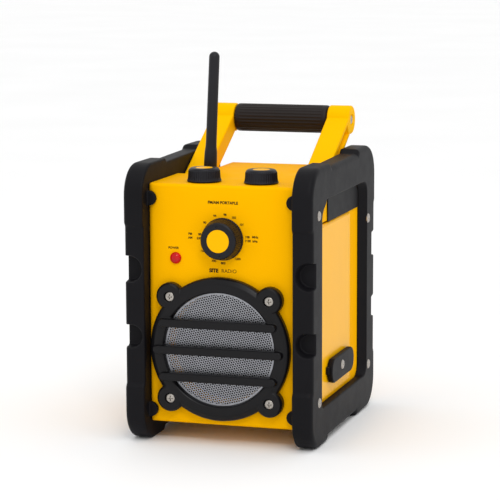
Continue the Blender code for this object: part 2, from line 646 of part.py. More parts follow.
def make_inside():
    block("circuit_board", (-38, -58, 140), (30, -56.4, 200), "board")
    x, z = TUNING_X, TUNING_Z
    block("tuning_capacitor", (x - 10, CASE_FRONT + 8, z - 10), (x + 10, CASE_FRONT + 24, z + 10), "black")
    for name, word in (("volume_control", "volume"), ("band_switch", "band")):
        rod(name, "Z", (TOP_KNOB_X[word], TOP_KNOB_Y), 8.5, 205, CASE_TOP - 7, 18, "steel")
    rod("ferrite_rod", "X", (-12, 205), 5, -36, 30, 14, "black")
    block("mains_transformer", (-45, 0, CASE_BOTTOM + WALL + GAP), (-5, 36, 62), "steel")


def make_rear_sockets():
    rear = CASE_REAR
    inlet = block("mains_inlet", (-42.2, rear - 18, 37.3), (-17.8, rear - GAP, 54.7), "black")
    cut(inlet, prism("inlet_socket", "Y", rounded(-39.5, 41, -20.5, 51, [4.8] * 4, 4), rear - 13, rear + CUT))
    jack = [(1.8, rear - 10), (5, rear - 10), (5, rear - GAP), (1.8, rear - GAP)]
    turned("line_in_jack", "Y", (0, 46), jack, 16, "black")


def main():
    clear_scene()
    make_front_cover()
    make_main_housing()
    make_rear_cover()
    make_guard("left", -1)
    make_guard("right", 1)
    make_grille()
    make_speaker()
    make_controls()
    make_aerial()
    make_handle()
    make_door()
    make_latch()
    make_bay()
    make_inside()
    make_rear_sockets()


main()
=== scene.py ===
"""Looks of a portable site radio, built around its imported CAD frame.

Lengths are in millimetres inside the shape functions and in metres in Blender.
+X is the user's right when facing the dial, +Y points to the back, +Z is up.
"""
import math

import bmesh
import bpy
from mathutils import Matrix, Vector


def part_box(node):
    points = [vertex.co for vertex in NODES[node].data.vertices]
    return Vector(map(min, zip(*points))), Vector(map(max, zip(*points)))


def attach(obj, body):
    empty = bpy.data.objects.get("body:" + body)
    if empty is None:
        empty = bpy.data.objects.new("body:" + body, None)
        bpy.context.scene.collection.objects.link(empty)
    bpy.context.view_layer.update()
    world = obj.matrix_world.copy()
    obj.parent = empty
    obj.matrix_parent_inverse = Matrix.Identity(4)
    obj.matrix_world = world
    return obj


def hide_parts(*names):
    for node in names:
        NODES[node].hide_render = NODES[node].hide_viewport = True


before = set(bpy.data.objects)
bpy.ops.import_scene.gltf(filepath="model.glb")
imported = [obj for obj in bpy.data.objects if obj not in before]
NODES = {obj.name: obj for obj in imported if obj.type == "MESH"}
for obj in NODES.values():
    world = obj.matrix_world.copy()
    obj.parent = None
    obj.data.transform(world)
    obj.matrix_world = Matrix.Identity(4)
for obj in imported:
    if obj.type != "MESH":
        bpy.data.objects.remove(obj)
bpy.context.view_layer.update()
MM = 0.001
CUT = 1.0                  # how far a cutter runs past what it opens


def box(node):
    """Lowest and highest corner of a CAD node in millimetres."""
    return tuple(Vector(corner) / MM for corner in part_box(node))


def middle(node, axis):
    """Centre of a CAD node as it is seen along an axis."""
    low, high = box(node)
    return tuple((low[i] + high[i]) / 2 for i in range(3) if i != "XYZ".index(axis))


# ---------------------------------------------------------------- measures from the frame

COVER_LOW, COVER_HIGH = box("front_cover")
HOUSING_LOW, HOUSING_HIGH = box("main_housing")
REAR_LOW, REAR_HIGH = box("rear_cover")
GUARD_HIGH = box("right_guard")[1]
GRILLE_LOW, GRILLE_HIGH = box("speaker_grille")
DOOR_LOW, DOOR_HIGH = box("battery_door")
LATCH_LOW, LATCH_HIGH = box("door_latch")
PAD_LOW, PAD_HIGH = box("hinge_cover")
GRIP_LOW, GRIP_HIGH = box("handle_grip")
ARM_LOW, ARM_HIGH = box("handle_arm_right")

CASE_HALF_X = COVER_HIGH.x
CASE_FRONT = COVER_LOW.y
CASE_REAR = REAR_HIGH.y
CASE_BOTTOM = COVER_LOW.z
CASE_TOP = COVER_HIGH.z
SEAM_FRONT = HOUSING_LOW.y
SEAM_REAR = REAR_LOW.y
SIDE_FACE = HOUSING_HIGH.x
GUARD_OUT = GUARD_HIGH.x
GUARD_IN = 66.0
GUARD_HALF_Y = GUARD_HIGH.y
GUARD_TOP = GUARD_HIGH.z
GUARD_RADIUS = 27.0
GUARD_STEP = 2.4           # the guard's corner blocks stand this far out of its waist
WALL = 3.0                 # thickness of the case
STANDOFF = 0.05            # lamp, collar and print off the case, and the front seam ahead of the CAD's
SPEAKER = ((GRILLE_LOW.x + GRILLE_HIGH.x) / 2, (GRILLE_LOW.z + GRILLE_HIGH.z) / 2)
EAR_OFFSET = 44.4
EAR_RADIUS = 11.9
EAR_FACE = -101.6
RING_RADIUS = (GRILLE_HIGH.x - GRILLE_LOW.x) / 2
OPENING_RADIUS = 49.3
WELL_RADIUS = 46.6
RING_BACK = GRILLE_HIGH.y
RING_FACE = -102.0
BAR_FACE = GRILLE_LOW.y
HEAD_RADIUS = 4.25         # screws
WINDOW = (-75.0, 73.0, 31.5, 211.0)     # front, rear, bottom and top of the hole in a guard
PIVOT = (-4.5, 210.0)
GRIP_CENTRE = ((GRIP_LOW.y + GRIP_HIGH.y) / 2, (GRIP_LOW.z + GRIP_HIGH.z) / 2)
CHANNEL_IN = 44.2
CHANNEL_FLOOR = 195.4
CHANNEL_FRONT = -19.2
PIN_BORE = 4.3             # holes for the handle's pins and its tube
SHAFT_BORE = 3.5           # holes for the knobs' shafts


# ---------------------------------------------------------------- shape tools

def lift(axis, u, v, w):
    """Put outline point (u, v) at distance w along an axis. X: (y, z), Y: (x, z), Z: (x, y)."""
    place = {"X": (w, u, v), "Y": (u, w, v), "Z": (u, v, w)}[axis]
    return Vector(place) * MM


def add_object(name, data):
    made = bpy.data.objects.new(name, data)
    bpy.context.scene.collection.objects.link(made)
    return made


def new_piece(name, bm):
    bmesh.ops.remove_doubles(bm, verts=bm.verts, dist=1e-7)
    bmesh.ops.recalc_face_normals(bm, faces=bm.faces)
    mesh = bpy.data.meshes.new(name)
    bm.to_mesh(mesh)
    bm.free()
    return add_object(name, mesh)


def loft(name, axis, levels):
    """Closed solid through outlines of equal point count: [(distance, outline), ...]."""
    bm = bmesh.new()
    loops = [[bm.verts.new(lift(axis, u, v, along)) for u, v in outline] for along, outline in levels]
    for lower, upper in zip(loops, loops[1:]):
        count = len(lower)
        for i in range(count):
            j = (i + 1) % count
            bm.faces.new((lower[i], lower[j], upper[j], upper[i]))
    bm.faces.new(loops[0])
    bm.faces.new(loops[-1])
    return new_piece(name, bm)


def prism(name, axis, outline, low, high):
    return loft(name, axis, [(low, outline), (high, outline)])


def turned(name, axis, centre, profile, segments=64, ribs=0, groove=0.0):
    """Turn a profile of (radius, distance[, ribbed]) about an axis; ribbed rings get grooves."""
    bm = bmesh.new()
    u, v = centre
    closed = min(point[0] for point in profile) > 0
    rings = []
    for point in profile:
        radius, along = point[0], point[1]
        if radius == 0:
            rings.append([bm.verts.new(lift(axis, u, v, along))] * segments)
            continue
        depth = groove if len(point) > 2 and point[2] else 0.0
        ring = []
        for step in range(segments):
            angle = 2 * math.pi * step / segments
            wave = 0.5 - 0.5 * math.cos(ribs * angle) if ribs else 0.0
            reach = radius - depth * wave
            point_u, point_v = u + reach * math.cos(angle), v + reach * math.sin(angle)
            ring.append(bm.verts.new(lift(axis, point_u, point_v, along)))
        rings.append(ring)
    pairs = list(zip(rings, rings[1:]))
    if closed:
        pairs.append((rings[-1], rings[0]))
    for lower, upper in pairs:
        for i in range(segments):
            j = (i + 1) % segments
            corners = []
            for corner in (lower[i], lower[j], upper[j], upper[i]):
                if corner not in corners:
                    corners.append(corner)
            if len(corners) > 2:
                bm.faces.new(corners)
    return new_piece(name, bm)


def rod(name, axis, centre, radius, low, high, segments=48):
    return turned(name, axis, centre, [(0, low), (radius, low), (radius, high), (0, high)], segments)


def block(name, low, high):
    outline = [(low[0], low[1]), (high[0], low[1]), (high[0], high[1]), (low[0], high[1])]
    return prism(name, "Z", outline, low[2], high[2])


def arc(u, v, radius, start, end, steps=8):
    """Points on an arc, angles in degrees."""
    angles = [math.radians(start + (end - start) * step / steps) for step in range(steps + 1)]
    return [(u + radius * math.cos(angle), v + radius * math.sin(angle)) for angle in angles]


def rounded(u0, v0, u1, v1, radius, steps=8):
    return (arc(u0 + radius, v0 + radius, radius, 180, 270, steps)
            + arc(u1 - radius, v0 + radius, radius, 270, 360, steps)
            + arc(u1 - radius, v1 - radius, radius, 0, 90, steps)
            + arc(u0 + radius, v1 - radius, radius, 90, 180, steps))


def combine(target, tool, operation):
    step = target.modifiers.new(operation.lower(), "BOOLEAN")
    step.operation = operation
    step.solver = "EXACT"
    step.object = tool
    return target


def cut(target, *tools):
    for tool in tools:
        combine(target, tool, "DIFFERENCE")
    return target


def join(target, *tools):
    for tool in tools:
        combine(target, tool, "UNION")
    return target


def bevel(target, width, segments=3, angle=35.0):
    step = target.modifiers.new("bevel", "BEVEL")
    step.width = width * MM
    step.segments = segments
    step.limit_method = "ANGLE"
    step.angle_limit = math.radians(angle)
    return target


def roll_edges(target, width, face, share):
    """Bevel the rims of an X prism: full width on the rim at face, a share of it on the other rim."""
    mesh = target.data
    weights = mesh.attributes.new("bevel_weight_edge", "FLOAT", "EDGE")
    for edge in mesh.edges:
        ends = [mesh.vertices[number].co.x / MM for number in edge.vertices]
        if abs(ends[0] - ends[1]) < 0.01:
            weights.data[edge.index].value = 1.0 if abs(ends[0] - face) < 0.01 else share
    step = target.modifiers.new("roll", "BEVEL")
    step.width = width * MM
    step.segments = 4
    step.limit_method = "WEIGHT"
    return target


def settle(piece):
    """Turn the modifiers into plain mesh and drop the tools that they used."""
    graph = bpy.context.evaluated_depsgraph_get()
    mesh = bpy.data.meshes.new_from_object(piece.evaluated_get(graph))
    tools = [step.object for step in piece.modifiers if step.type == "BOOLEAN"]
    piece.modifiers.clear()
    piece.data = mesh
    mesh.name = piece.name
    for tool in tools:
        bpy.data.objects.remove(tool, do_unlink=True)
    return piece


def merged(name, pieces):
    """One object that holds several closed solids, which may pass through each other."""
    bm = bmesh.new()
    for piece in pieces:
        settle(piece)
        bm.from_mesh(piece.data)
        bpy.data.objects.remove(piece, do_unlink=True)
    mesh = bpy.data.meshes.new(name)
    bm.to_mesh(mesh)
    bm.free()
    return add_object(name, mesh)


def soften(piece, voxel, passes, keep, tools=()):
    """Moulded rubber: remesh finely, cut seats, round every edge a little and thin the mesh out."""
    settle(piece)
    remesh = piece.modifiers.new("remesh", "REMESH")
    remesh.mode = "VOXEL"
    remesh.voxel_size = voxel * MM
    if tools:
        cut(settle(piece), *tools)
        settle(piece)
    smooth = piece.modifiers.new("smooth", "SMOOTH")
    smooth.factor = 0.5
    smooth.iterations = passes
    thin = piece.modifiers.new("thin", "DECIMATE")
    thin.ratio = keep
    settle(piece)
    piece.data.shade_smooth()
    return piece


def crisp(piece, angle=32.0):
    """Hard plastic or metal: smooth shading with sharp corners and flat faces kept flat."""
    settle(piece)
    piece.data.shade_smooth()
    piece.data.set_sharp_from_angle(angle=math.radians(angle))
    weighted = piece.modifiers.new("weighted", "WEIGHTED_NORMAL")
    weighted.keep_sharp = True
    return piece


def mirrored(piece, name):
    """The same shape on the other side of the radio."""
    mesh = piece.data.copy()
    mesh.transform(Matrix.Scale(-1, 4, (1, 0, 0)))
    mesh.flip_normals()
    return add_object(name, mesh)


def place(piece, body, finish, slot=None, stands_for=()):
    """Give a piece its material, the body it rides on, and the CAD nodes it stands for."""
    piece.data.materials.clear()
    piece.data.materials.append(finish)
    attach(piece, body)
    if stands_for:
        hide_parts(*stands_for)
    return piece


# ---------------------------------------------------------------- materials

class Recipe:
    """A Principled material with helpers for procedural detail in object space."""

    def __init__(self, name, colour, roughness, metallic=0.0, specular=0.5):
        self.material = bpy.data.materials.new(name)
        self.material.use_nodes = True
        self.tree = self.material.node_tree
        self.shader = self.tree.nodes["Principled BSDF"]
        self.shader.inputs["Base Color"].default_value = (*colour, 1.0)
        self.shader.inputs["Roughness"].default_value = roughness
        self.shader.inputs["Metallic"].default_value = metallic
        self.shader.inputs["Specular IOR Level"].default_value = specular
        self.place = self.tree.nodes.new("ShaderNodeTexCoord")
        self.bumps = None

    def link(self, source, target):
        self.tree.links.new(source, target)

    def noise(self, scale, detail=2.0, stretch=(1.0, 1.0, 1.0)):
        squeeze = self.tree.nodes.new("ShaderNodeMapping")
        squeeze.inputs["Scale"].default_value = stretch
        self.link(self.place.outputs["Object"], squeeze.inputs["Vector"])
        made = self.tree.nodes.new("ShaderNodeTexNoise")
        made.inputs["Scale"].default_value = scale
        made.inputs["Detail"].default_value = detail
        self.link(squeeze.outputs["Vector"], made.inputs["Vector"])
        return made.outputs["Fac"]

    def spread(self, source, low, high):
        """Map a texture's middle range to low..high."""
        made = self.tree.nodes.new("ShaderNodeMapRange")
        made.inputs["From Min"].default_value = 0.3
        made.inputs["From Max"].default_value = 0.7
        made.inputs["To Min"].default_value = low
        made.inputs["To Max"].default_value = high
        self.link(source, made.inputs["Value"])
        return made.outputs["Result"]

    def tint(self, source, dark, light):
        ramp = self.tree.nodes.new("ShaderNodeValToRGB")
        ramp.color_ramp.elements[0].position = 0.3
        ramp.color_ramp.elements[0].color = (*dark, 1.0)
        ramp.color_ramp.elements[1].position = 0.7
        ramp.color_ramp.elements[1].color = (*light, 1.0)
        self.link(source, ramp.inputs["Fac"])
        self.link(ramp.outputs["Color"], self.shader.inputs["Base Color"])
        return self

    def gloss(self, source, low, high):
        self.link(self.spread(source, low, high), self.shader.inputs["Roughness"])
        return self

    def bump(self, source, depth, strength=1.0):
        """Add a bump layer; depth in millimetres."""
        made = self.tree.nodes.new("ShaderNodeBump")
        made.inputs["Distance"].default_value = depth * MM
        made.inputs["Strength"].default_value = strength
        self.link(source, made.inputs["Height"])
        if self.bumps:
            self.link(self.bumps, made.inputs["Normal"])
        self.bumps = made.outputs["Normal"]
        self.link(self.bumps, self.shader.inputs["Normal"])
        return self


def shade(colour, factor):
    return tuple(min(1.0, part * factor) for part in colour)


def plastic(name, colour, roughness, grain=0.02, specular=0.5, vary=0.05):
    """Moulded plastic: cloudy tone, faint sink marks and a fine spark-eroded grain."""
    recipe = Recipe(name, colour, roughness, specular=specular)
    cloud = recipe.noise(14.0, 3.0)
    recipe.tint(cloud, shade(colour, 1 - vary), shade(colour, 1 + vary))
    recipe.gloss(recipe.noise(60.0, 4.0), roughness * 0.88, roughness * 1.12)
    recipe.bump(recipe.noise(45.0, 1.0), 0.06, 0.5)
    recipe.bump(recipe.noise(2600.0, 2.0), grain, 0.6)
    return recipe.material


def rubber(name, colour, roughness, grain=0.05, specular=0.35):
    """Moulded rubber: soft mottled bloom and a denser matt grain."""
    recipe = Recipe(name, colour, roughness, specular=specular)
    recipe.tint(recipe.noise(30.0, 5.0), shade(colour, 0.9), shade(colour, 1.12))
    recipe.gloss(recipe.noise(90.0, 5.0), roughness * 0.96, roughness * 1.05)
    recipe.bump(recipe.noise(120.0, 2.0), 0.05, 0.4)
    recipe.bump(recipe.noise(1700.0, 3.0), grain, 0.7)
    return recipe.material


def metal(name, colour, roughness, stretch=(1.0, 1.0, 1.0), depth=0.01):
    """Plated or drawn metal: fine lay marks and uneven polish."""
    recipe = Recipe(name, colour, roughness, metallic=1.0)
    recipe.tint(recipe.noise(200.0, 3.0), shade(colour, 0.92), shade(colour, 1.05))
    recipe.gloss(recipe.noise(350.0, 4.0, stretch), roughness * 0.8, roughness * 1.25)
    recipe.bump(recipe.noise(900.0, 2.0, stretch), depth, 0.5)
    return recipe.material


def make_materials():
    found = {
        "case": plastic("case_yellow", (0.93, 0.445, 0.0), 0.5, 0.012, 0.01, 0.02),
        "handle": plastic("handle_yellow", (0.93, 0.48, 0.0), 0.5, 0.014, 0.012, 0.02),
        "door": plastic("door_yellow", (0.93, 0.46, 0.0), 0.22, 0.008, 0.06, 0.02),
        "cap": plastic("cap_yellow", (0.93, 0.46, 0.0), 0.4, 0.008, 0.05, 0.02),
        "guard": rubber("guard_rubber", (0.0055, 0.0052, 0.0066), 0.52, 0.04, 0.1),
        "whip": rubber("whip_rubber", (0.012, 0.012, 0.015), 0.45, 0.03, 0.2),
        "grip": rubber("grip_rubber", (0.0115, 0.0075, 0.0065), 0.5, 0.03, 0.22),
        "grille": plastic("grille_black", (0.004, 0.0037, 0.0046), 0.34, 0.02, 0.2, 0.15),
        "knob": plastic("knob_black", (0.007, 0.0068, 0.01), 0.36, 0.02, 0.22, 0.15),
        "socket": plastic("socket_black", (0.008, 0.008, 0.009), 0.4, 0.03, 0.2, 0.15),
        "screw": metal("screw_nickel", (0.41, 0.38, 0.345), 0.3),
        "steel": metal("plain_steel", (0.6, 0.6, 0.6), 0.35, (1.0, 0.15, 1.0)),
        "mesh": metal("mesh_metal", (0.33, 0.335, 0.36), 0.4),
        "print": plastic("print_ink", (0.02, 0.006, 0.001), 0.5, 0.004, 0.1, 0.1),
        "mark": plastic("mark_white", (0.34, 0.34, 0.32), 0.5, 0.004, 0.2, 0.03),
        "board": plastic("board_green", (0.02, 0.16, 0.06), 0.35, 0.01, 0.5, 0.15),
        "paper": rubber("cone_paper", (0.01, 0.01, 0.0105), 0.85, 0.08, 0.1),
    }
    lens = Recipe("red_lens", (0.55, 0.004, 0.006), 0.08, specular=0.25)
    lens.tint(lens.noise(160.0, 2.0), (0.45, 0.003, 0.005), (0.68, 0.006, 0.01))
    lens.bump(lens.noise(260.0, 1.0), 0.06, 0.5)
    found["lens"] = lens.material
    return found


# ---------------------------------------------------------------- case

def window_outline(front, rear, bottom, top, steps=6):
    """Guard window in (y, z), with its stepped corner at the top front."""
    ogee = [(front + 17.5, top), (front + 15, top - 0.9), (front + 12.2, top - 3.6), (front + 9, top - 5.6),
            (front + 4.6, top - 8.2), (front + 1.6, top - 11.6), (front, top - 16)]
    return (arc(front + 5, bottom + 5, 5, 180, 270, steps) + arc(rear - 11, bottom + 11, 11, 270, 360, steps)
            + arc(rear - 12, top - 12, 12, 0, 90, steps) + ogee)


def handle_channel(side):
    low, high = sorted((side * CHANNEL_IN, side * (CASE_HALF_X + CUT)))
    return block("channel_tool", (low, CHANNEL_FRONT, CHANNEL_FLOOR), (high, CASE_REAR + CUT, CASE_TOP + CUT))


def cavity(front, rear, top):
    low, wide, narrow = CASE_BOTTOM + WALL, CASE_HALF_X - WALL, CHANNEL_IN - WALL
    shoulder = CHANNEL_FLOOR - WALL
    outline = [(-wide, low), (wide, low), (wide, shoulder), (narrow, shoulder), (narrow, top),
               (-narrow, top), (-narrow, shoulder), (-wide, shoulder)]
    return prism("cavity_tool", "Y", outline, front, rear)


def ear_centres():
    x, z = SPEAKER
    return [(x + dx, z + dz) for dx in (-EAR_OFFSET, EAR_OFFSET) for dz in (-EAR_OFFSET, EAR_OFFSET)]


def make_front_cover(looks):
    depth, roll_side, roll_top = SEAM_FRONT - CASE_FRONT - STANDOFF, 4.6, 2.6
    levels = []
    for step in range(9):
        turn = math.radians(11.25 * step)
        side_in, top_in = roll_side * (1 - math.sin(turn)), roll_top * (1 - math.sin(turn))
        outline = rounded(-CASE_HALF_X + side_in, CASE_BOTTOM + top_in, CASE_HALF_X - side_in,
                          CASE_TOP - top_in, 2.0, 5)
        levels.append((CASE_FRONT + depth * (1 - math.cos(turn)) * 0.92, outline))
    levels.append((CASE_FRONT + depth, levels[-1][1]))
    cover = loft("front_panel", "Y", levels)
    well_back = COVER_HIGH.y
    join(cover, rod("well_tool", "Y", SPEAKER, WELL_RADIUS + 2.5, CASE_FRONT + 2.2, well_back, 72))
    cut(cover, rod("hole_tool", "Y", SPEAKER, WELL_RADIUS, CASE_FRONT - CUT, well_back + CUT, 72))
    for node, radius in (("tuning_knob", SHAFT_BORE), ("power_lamp_lens", 3.6)):
        cut(cover, rod("hole_tool", "Y", middle(node, "Y"), radius, CASE_FRONT - CUT, SEAM_FRONT + CUT, 24))
    crisp(cover)
    return place(cover, "case", looks["case"], "yellow_case", ["front_cover"])


def make_housing(looks):
    outline = rounded(-CASE_HALF_X, CASE_BOTTOM, CASE_HALF_X, CASE_TOP, 1.5, 4)
    housing = prism("housing_shell", "Y", outline, SEAM_FRONT - STANDOFF, SEAM_REAR - 0.3)
    low, high = HOUSING_LOW, HOUSING_HIGH
    for side in (-1, 1):
        ends = sorted((side * (CASE_HALF_X - 2), side * SIDE_FACE))
        front, rear, bottom, top = WINDOW
        wall = window_outline(front + 0.3, rear - 0.3, bottom + 0.3, top - 0.3)
        join(housing, prism("wall_tool", "X", wall, *ends))
    cut(housing, cavity(low.y - CUT, high.y + CUT, CASE_TOP - WALL))
    for side in (-1, 1):
        pocket = sorted((side * 59.7, side * 71.5))
        cut(housing, block("pocket_tool", (pocket[0], -73.5, 39), (pocket[1], 70, CHANNEL_FLOOR - WALL)))
        cut(housing, handle_channel(side))
        cut(housing, rod("pivot_tool", "X", PIVOT, PIN_BORE, *sorted((side * 30, side * 45.2)), 24))
    opening_low = (70.5, DOOR_LOW.y - 0.5, DOOR_LOW.z - 0.5)
    cut(housing, block("door_tool", opening_low, (SIDE_FACE + CUT, DOOR_HIGH.y + 0.5, DOOR_HIGH.z + 1.8)))
    for node, radius in (("volume_knob", SHAFT_BORE), ("band_knob", SHAFT_BORE), ("antenna_base", 4.4)):
        cut(housing, rod("deck_tool", "Z", middle(node, "Z"), radius, CASE_TOP - 4, CASE_TOP + CUT, 24))
    settle(housing)
    bevel(housing, 0.5, 2, 40)
    crisp(housing)
    return place(housing, "case", looks["case"], "yellow_case", ["main_housing"])


def make_rear_cover(looks):
    front, rear, radius = SEAM_REAR, CASE_REAR, 18.0
    outline = ([(front, CASE_BOTTOM)] + arc(rear - 6, CASE_BOTTOM + 6, 6, 270, 360, 6)
               + arc(rear - radius, CASE_TOP - radius, radius, 0, 90, 16) + [(front, CASE_TOP)])
    cover = prism("rear_shell", "X", outline, -CASE_HALF_X, CASE_HALF_X)
    cut(cover, cavity(front - CUT, rear - WALL, CASE_TOP - radius))
    for side in (-1, 1):
        cut(cover, handle_channel(side))
    low, high = box("mains_inlet")
    inlet_low = (low.x - 0.3, rear - 2 * WALL, low.z - 0.3)
    cut(cover, block("inlet_tool", inlet_low, (high.x + 0.3, rear + CUT, high.z + 0.3)))
    cut(cover, rod("jack_tool", "Y", middle("line_in_jack", "Y"), 5.3, rear - 2 * WALL, rear + CUT, 32))
    for row in range(6):
        z = 120 + 8 * row
        slot = rounded(-26, z - 1.5, 26, z + 1.5, 1.4, 3)
        cut(cover, prism("vent_tool", "Y", slot, rear - 1.6, rear + CUT))
    panel = rounded(-52, 28, 52, 62, 5, 5)
    cut(cover, prism("recess_tool", "Y", panel, rear - 0.8, rear + CUT))
    settle(cover)
    bevel(cover, 0.6, 2, 40)
    crisp(cover)
    return place(cover, "case", looks["case"], "yellow_case", ["rear_cover"])


# ---------------------------------------------------------------- guards

def guard_outline():
    """Guard edge in (y, z): four proud corner blocks with large radii and a waist between them."""
    half, radius, top = GUARD_HALF_Y, GUARD_RADIUS, GUARD_TOP
    waist, flat, slope, step_high = half - GUARD_STEP, half - radius, 3.5, 4.0
    low, high = 49.0, 191.0
    front_top = 241.5
    return ([(-56.5, 0), (-56.5 + slope, step_high), (43.5 - slope, step_high), (43.5, 0)]
            + arc(flat, radius, radius, 270, 360, 14)
            + [(half, low), (waist, low + slope), (waist, high - slope), (half, high)]
            + arc(flat, top - radius, radius, 0, 90, 14)
            + [(49.0, top), (44.5, 239.7), (-43.0, 238.3), (-47.0, front_top)]
            + arc(-flat, front_top - radius, radius, 90, 180, 14)
            + [(-half, high), (-waist, high - slope), (-waist, low + slope), (-half, low)]
            + arc(-flat, radius, radius, 180, 270, 14))


def notch_tool(end, low, high):
    """Cutter for a D-shaped grip notch with sloping sides."""
    radius, inner_x = (high - low) / 2, 68.5
    centre = (low + high) / 2

    def shape(grow):
        reach = radius + grow
        corner = GUARD_OUT + CUT
        return (arc(inner_x + radius, centre, reach, 90, 270, 16)
                + [(corner, centre - reach), (corner, centre + reach)])

    edge = end * (GUARD_HALF_Y - GUARD_STEP)
    return loft("notch_tool", "Y", [(edge - end * 10.5, shape(-1.2)), (edge - end * 2.0, shape(0.0)),
                                    (edge + end * 4.0, shape(2.2))])


def screw_tool(axis, centre, face, side, depth):
    """Cutter for a screw's counterbore and the hole below it."""
    seat = face - side * 1.9
    wide = HEAD_RADIUS + 0.35
    profile = [(0, face + side * CUT), (wide, face + side * CUT), (wide, seat), (2.0, seat),
               (2.0, seat - side * depth), (0, seat - side * depth)]
    return turned("seat_tool", axis, centre, profile, 32)


def make_guards(looks):
    guard = prism("guard_right", "X", guard_outline(), GUARD_IN, GUARD_OUT)
    roll_edges(guard, 4.4, GUARD_OUT, 0.35)
    front, rear, bottom, top = WINDOW
    cut(guard, prism("window_tool", "X", window_outline(*WINDOW), GUARD_IN - CUT, SIDE_FACE + 0.4))
    lip_in = window_outline(front + 0.8, rear - 2.0, bottom + 1.2, top - 0.4)
    lip_out = window_outline(front + 0.2, rear + 4.0, bottom + 1.0, top + 0.8)
    flare = window_outline(front - 1.0, rear + 5.0, bottom, top + 1.8)
    cut(guard, loft("lip_tool", "X", [(SIDE_FACE + 0.2, lip_in), (GUARD_OUT - 1.2, lip_out),
                                      (GUARD_OUT + CUT, flare)]))
    for end, face, heights in ((-1, CASE_FRONT, (28.0, 212.3)), (1, CASE_REAR, (28.0,))):
        for height in heights:
            ends = sorted((face + end * 0.3, face + end * 4.0))
            join(guard, rod("lug_tool", "Y", (64.5, height), 6.5, *ends, 40))
        for low, high in ((83.0, 103.0), (140.0, 163.0)):
            cut(guard, notch_tool(end, low, high))
    for number in range(1, 5):
        node = f"guard_screw_right_{number}"
        cut(guard, screw_tool("X", middle(node, "X"), box(node)[1].x, 1, 11))
    soften(guard, 0.7, 3, 0.16)
    place(mirrored(guard, "guard_left"), "case", looks["guard"], "guard_rubber", ["left_guard"])
    return place(guard, "case", looks["guard"], "guard_rubber", ["right_guard"])


# ---------------------------------------------------------------- speaker

def make_grille(looks):
    """Round frame with four ears and three bars, all moulded in one."""
    back, face, hole = RING_BACK, RING_FACE, OPENING_RADIUS
    ring = [(hole, back), (RING_RADIUS, back), (RING_RADIUS, face + 4.0), (RING_RADIUS - 1.2, face + 2.2),
            (RING_RADIUS - 4.6, face + 0.3), (RING_RADIUS - 5.6, face), (hole + 1.8, face),
            (hole + 0.5, face + 0.9), (hole, face + 3.0)]
    pieces = [turned("ring", "Y", SPEAKER, ring, 120)]
    for ear in ear_centres():
        boss = [(0, back), (EAR_RADIUS, back), (EAR_RADIUS, EAR_FACE + 2.2), (EAR_RADIUS - 1.8, EAR_FACE),
                (0, EAR_FACE)]
        pieces.append(turned("ear", "Y", ear, boss, 60))
    for row, length in ((-1, 104.5), (0, 115.0), (1, 104.5)):
        z = SPEAKER[1] - 1.2 + 23.4 * row
        outline = rounded(SPEAKER[0] - length / 2, z - 3.5, SPEAKER[0] + length / 2, z + 3.5, 3.3, 6)
        bar = prism("bar", "Y", outline, BAR_FACE, face + 3)
        pieces.append(bevel(bar, 1.2, 3, 60))
    grille = merged("grille_frame", pieces)
    seats = [screw_tool("Y", ear, EAR_FACE, -1, 8) for ear in ear_centres()]
    soften(grille, 0.5, 3, 0.3, seats)
    return place(grille, "case", looks["grille"], "grille_plastic", ["speaker_grille"])


def make_mesh(looks):
    """Perforated sheet: six-sided cells in slanting rows, each with its own round hole."""
    low, high = box("grille_mesh")
    limit = (high.x - low.x) / 2
    pitch, hole, sides, slant = 2.15, 0.84, 6, math.radians(15)
    cell = pitch / math.sqrt(3)
    bm = bmesh.new()
    found = {}

    def put(x, z):
        """Corner of a sheet in its own plane, turned by the slant."""
        across = x * math.cos(slant) - z * math.sin(slant)
        above = x * math.sin(slant) + z * math.cos(slant)
        return bm.verts.new(lift("Y", SPEAKER[0] + across, SPEAKER[1] + above, low.y + 0.25))

    def corner(x, z):
        """Shared corner of neighbouring cells, pulled in to the sheet's round edge."""
        reach = math.hypot(x, z)
        if reach > limit:
            x, z = x * limit / reach, z * limit / reach
        key = (round(x, 2), round(z, 2))
        if key not in found:
            found[key] = put(x, z)
        return found[key]

    step_z = pitch * math.sqrt(3) / 2
    rows = int(limit / step_z) + 2
    for row in range(-rows, rows + 1):
        for column in range(-rows - 2, rows + 3):
            x, z = pitch * (column + (row % 2) / 2), step_z * row
            if math.hypot(x, z) > limit - 0.35:
                continue
            turns = [math.radians(60 * side + 30) for side in range(sides)]
            outer = [corner(x + cell * math.cos(turn), z + cell * math.sin(turn)) for turn in turns]
            if math.hypot(x, z) > limit - 1.2:
                if len(set(outer)) == sides:
                    bm.faces.new(outer)
                continue
            inner = [put(x + hole * math.cos(turn), z + hole * math.sin(turn)) for turn in turns]
            for i in range(sides):
                j = (i + 1) % sides
                if outer[i] is not outer[j]:
                    bm.faces.new((outer[i], outer[j], inner[j], inner[i]))
    holes = new_piece("holes", bm)
    thick = holes.modifiers.new("thick", "SOLIDIFY")
    thick.thickness = 0.4 * MM
    thick.offset = 0.0
    front, back = low.y + 0.02, low.y + 0.5
    edge = [(limit - 1.4, front), (limit, front), (limit, back), (limit - 1.4, back)]
    sheet = merged("speaker_mesh", [holes, turned("edge", "Y", SPEAKER, edge, 120)])
    return place(sheet, "case", looks["mesh"], "mesh_metal", ["grille_mesh"])


# ---------------------------------------------------------------- screws

